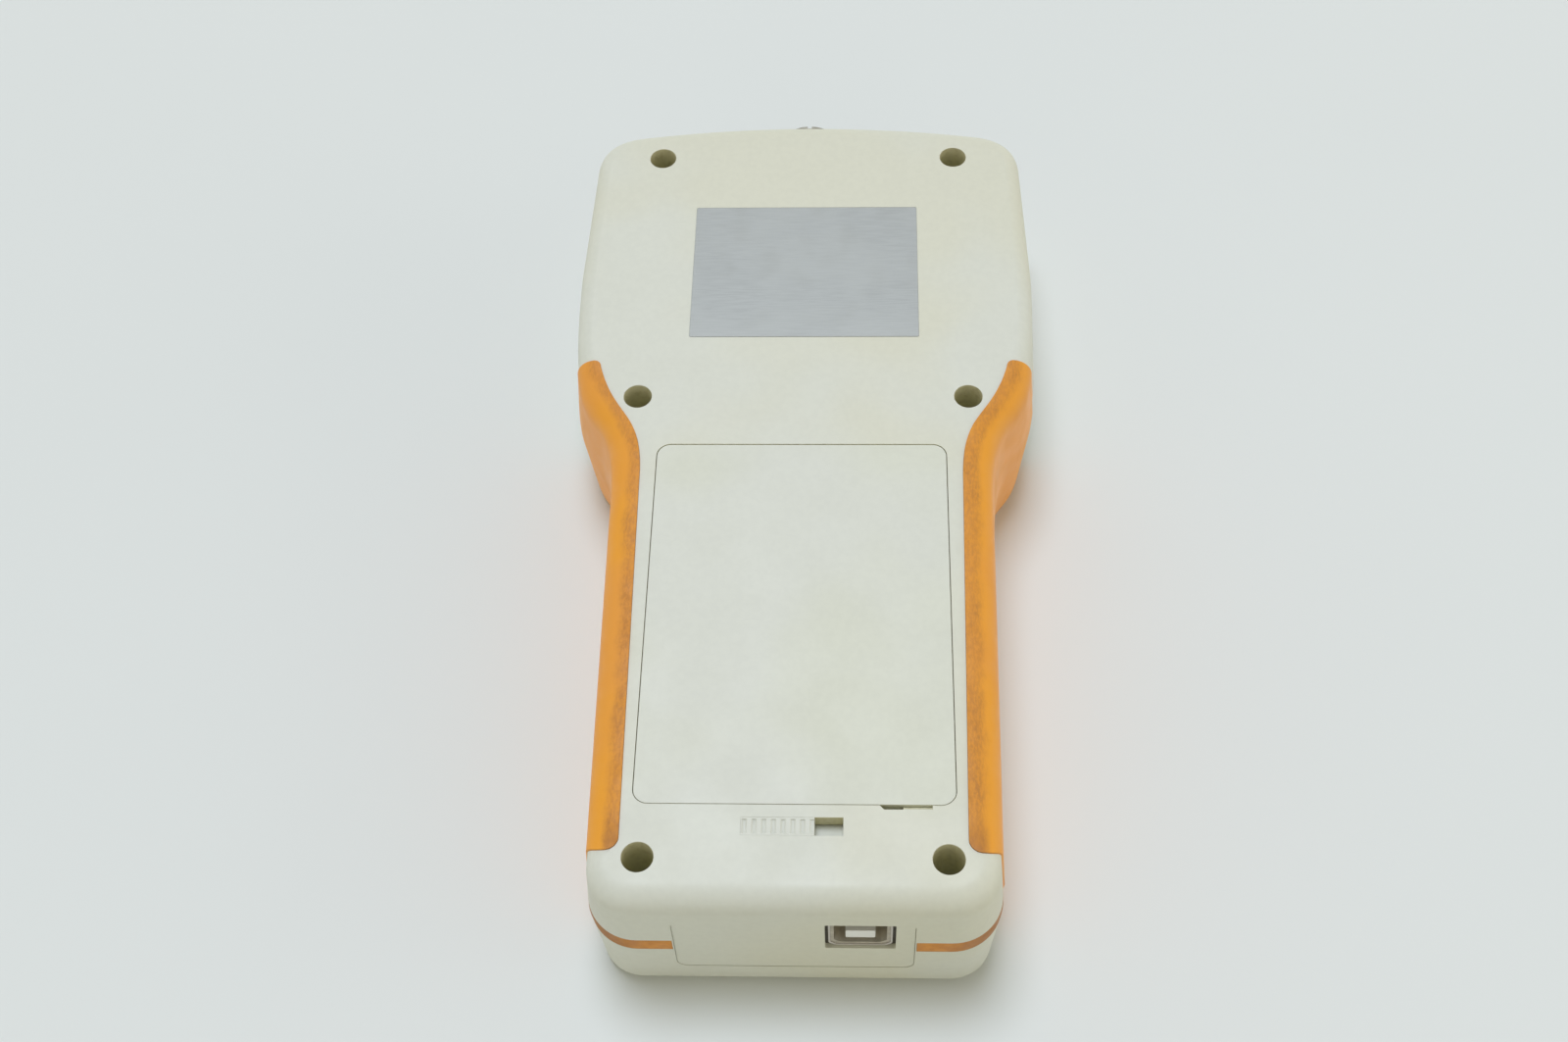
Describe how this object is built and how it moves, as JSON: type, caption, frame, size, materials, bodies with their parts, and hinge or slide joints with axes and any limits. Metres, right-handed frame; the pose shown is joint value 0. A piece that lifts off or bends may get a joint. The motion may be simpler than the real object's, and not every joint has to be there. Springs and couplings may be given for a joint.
{
  "type": "antenna analyzer",
  "caption": "Handheld antenna analyzer with soft side grips, display and keypad in front, latched battery door behind, data socket and threaded antenna socket.",
  "frame": {"origin": "middle of the width and of the whole length including the antenna socket, on the surface that the front face rests on", "axes": "+Y along the case towards the antenna socket, +Z out of the back face, +X to the right as the back is seen with the socket up; the front face looks along -Z"},
  "size_m": [0.1032, 0.207, 0.0371],
  "materials": {
    "case_plastic": "light grey-beige moulded plastic, fine satin texture",
    "grip_rubber": "orange soft moulded rubber, matt, grubby where it meets the back",
    "label_foil": "silver-grey foil, satin, no print",
    "overlay_film": "dark printed film, satin",
    "window_clear": "clear window",
    "display_dark": "liquid crystal glass in a dark bezel",
    "key_plastic": "pale keys with plain digits and signs",
    "dome_film": "thin translucent switch film",
    "board_laminate": "green circuit board laminate",
    "plain_steel": "tinned and plated steel",
    "socket_plating": "nickel plating, slightly dull",
    "socket_insulator": "white moulded insulator",
    "contact_brass": "gold-coloured brass",
    "black_plastic": "black sleeve and housing"
  },
  "bodies": {
    "case": {"rear_shell": "case_plastic", "front_shell": "case_plastic", "end_panel_bottom": "case_plastic", "end_panel_top": "case_plastic", "grip_right": "grip_rubber", "grip_left": "grip_rubber", "rating_label": "label_foil", "front_overlay": "overlay_film", "display_lens": "window_clear", "lcd_module": "display_dark", "dome_sheet": "dome_film", "main_board": "board_laminate", "usb_board": "board_laminate", "shield_can": "plain_steel", "usb_shell": "plain_steel", "case_screw_1": "plain_steel", "case_screw_2": "plain_steel", "case_screw_3": "plain_steel", "case_screw_4": "plain_steel", "case_screw_5": "plain_steel", "case_screw_6": "plain_steel", "board_screw_1": "plain_steel", "board_screw_2": "plain_steel", "board_screw_3": "plain_steel", "battery_spring_1": "plain_steel", "battery_spring_2": "plain_steel", "battery_spring_3": "plain_steel", "battery_plate_1": "plain_steel", "battery_plate_2": "plain_steel", "battery_plate_3": "plain_steel", "uhf_barrel": "socket_plating", "uhf_nut": "socket_plating", "uhf_insulator": "socket_insulator", "usb_tongue": "socket_insulator", "uhf_contact": "contact_brass", "rf_link": "contact_brass", "buzzer": "black_plastic", "battery_cell_1": "black_plastic", "battery_cell_2": "black_plastic", "battery_cell_3": "black_plastic"},
    "battery_door": {"battery_door": "case_plastic"},
    "door_latch": {"door_latch": "case_plastic"},
    "key_01": {"key_01": "key_plastic"},
    "key_02": {"key_02": "key_plastic"},
    "key_03": {"key_03": "key_plastic"},
    "key_04": {"key_04": "key_plastic"},
    "key_05": {"key_05": "key_plastic"},
    "key_06": {"key_06": "key_plastic"},
    "key_07": {"key_07": "key_plastic"},
    "key_08": {"key_08": "key_plastic"},
    "key_09": {"key_09": "key_plastic"},
    "key_10": {"key_10": "key_plastic"},
    "key_11": {"key_11": "key_plastic"},
    "key_12": {"key_12": "key_plastic"},
    "key_13": {"key_13": "key_plastic"},
    "key_14": {"key_14": "key_plastic"},
    "key_15": {"key_15": "key_plastic"},
    "key_16": {"key_16": "key_plastic"},
    "key_17": {"key_17": "key_plastic"},
    "key_18": {"key_18": "key_plastic"}
  },
  "joints": [
    {"name": "door_hinge", "type": "hinge", "parent": "case", "child": "battery_door", "pos_m": [0, -0.0005, 0.037], "axis": [-1, 0, 0], "range_deg": [0, 60]},
    {"name": "latch_slide", "type": "slide", "parent": "case", "child": "door_latch", "axis": [1, 0, 0], "range_m": [0, 0.005]},
    {"name": "key_01_press", "type": "slide", "parent": "case", "child": "key_01", "axis": [0, 0, 1], "range_m": [0, 0.0005], "stiffness_N_per_m": 600},
    {"name": "key_02_press", "type": "slide", "parent": "case", "child": "key_02", "axis": [0, 0, 1], "range_m": [0, 0.0005], "stiffness_N_per_m": 600},
    {"name": "key_03_press", "type": "slide", "parent": "case", "child": "key_03", "axis": [0, 0, 1], "range_m": [0, 0.0005], "stiffness_N_per_m": 600},
    {"name": "key_04_press", "type": "slide", "parent": "case", "child": "key_04", "axis": [0, 0, 1], "range_m": [0, 0.0005], "stiffness_N_per_m": 600},
    {"name": "key_05_press", "type": "slide", "parent": "case", "child": "key_05", "axis": [0, 0, 1], "range_m": [0, 0.0005], "stiffness_N_per_m": 600},
    {"name": "key_06_press", "type": "slide", "parent": "case", "child": "key_06", "axis": [0, 0, 1], "range_m": [0, 0.0005], "stiffness_N_per_m": 600},
    {"name": "key_07_press", "type": "slide", "parent": "case", "child": "key_07", "axis": [0, 0, 1], "range_m": [0, 0.0005], "stiffness_N_per_m": 600},
    {"name": "key_08_press", "type": "slide", "parent": "case", "child": "key_08", "axis": [0, 0, 1], "range_m": [0, 0.0005], "stiffness_N_per_m": 600},
    {"name": "key_09_press", "type": "slide", "parent": "case", "child": "key_09", "axis": [0, 0, 1], "range_m": [0, 0.0005], "stiffness_N_per_m": 600},
    {"name": "key_10_press", "type": "slide", "parent": "case", "child": "key_10", "axis": [0, 0, 1], "range_m": [0, 0.0005], "stiffness_N_per_m": 600},
    {"name": "key_11_press", "type": "slide", "parent": "case", "child": "key_11", "axis": [0, 0, 1], "range_m": [0, 0.0005], "stiffness_N_per_m": 600},
    {"name": "key_12_press", "type": "slide", "parent": "case", "child": "key_12", "axis": [0, 0, 1], "range_m": [0, 0.0005], "stiffness_N_per_m": 600},
    {"name": "key_13_press", "type": "slide", "parent": "case", "child": "key_13", "axis": [0, 0, 1], "range_m": [0, 0.0005], "stiffness_N_per_m": 600},
    {"name": "key_14_press", "type": "slide", "parent": "case", "child": "key_14", "axis": [0, 0, 1], "range_m": [0, 0.0005], "stiffness_N_per_m": 600},
    {"name": "key_15_press", "type": "slide", "parent": "case", "child": "key_15", "axis": [0, 0, 1], "range_m": [0, 0.0005], "stiffness_N_per_m": 600},
    {"name": "key_16_press", "type": "slide", "parent": "case", "child": "key_16", "axis": [0, 0, 1], "range_m": [0, 0.0005], "stiffness_N_per_m": 600},
    {"name": "key_17_press", "type": "slide", "parent": "case", "child": "key_17", "axis": [0, 0, 1], "range_m": [0, 0.0005], "stiffness_N_per_m": 600},
    {"name": "key_18_press", "type": "slide", "parent": "case", "child": "key_18", "axis": [0, 0, 1], "range_m": [0, 0.0005], "stiffness_N_per_m": 600}
  ]
}
